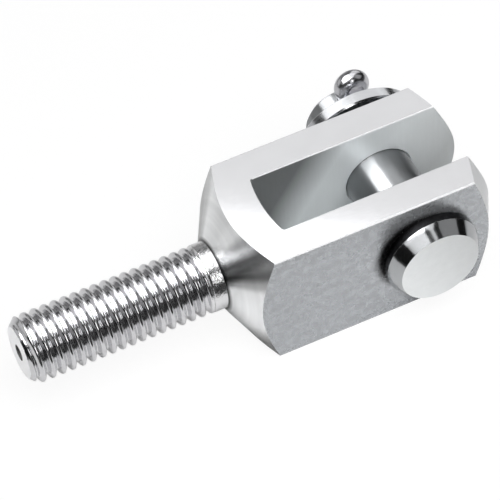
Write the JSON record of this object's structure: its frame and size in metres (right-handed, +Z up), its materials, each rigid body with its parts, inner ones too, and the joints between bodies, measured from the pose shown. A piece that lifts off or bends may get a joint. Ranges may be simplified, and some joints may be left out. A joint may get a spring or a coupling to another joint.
{
  "type": "clevis rod end",
  "caption": "Forked steel rod end with a male threaded shank and a headed clevis pin through its jaw, kept by a washer and a split pin.",
  "frame": {"origin": "where the clevis pin's axis crosses the rod's axis, in the middle of the jaw", "axes": "+X along the rod towards the jaw's mouth, with the threaded shank at -X; +Y along the clevis pin, from its head to its split pin; +Z up, square to both"},
  "size_m": [0.0693, 0.0322, 0.0201],
  "materials": {
    "fork_steel": "satin bright zinc",
    "pin_steel": "polished bright zinc",
    "washer_steel": "polished bright zinc",
    "split_pin_steel": "polished bright zinc"
  },
  "bodies": {
    "fork": {"fork_body": "fork_steel"},
    "pin": {"clevis_pin": "pin_steel", "split_pin": "split_pin_steel"},
    "washer": {"washer": "washer_steel"}
  },
  "joints": [
    {"name": "pin_turn", "type": "hinge", "parent": "fork", "child": "pin", "pos_m": [0, 0, 0], "axis": [0, 1, 0], "continuous": true},
    {"name": "washer_turn", "type": "hinge", "parent": "pin", "child": "washer", "pos_m": [0, 0.0118, 0], "axis": [0, 1, 0], "continuous": true}
  ]
}
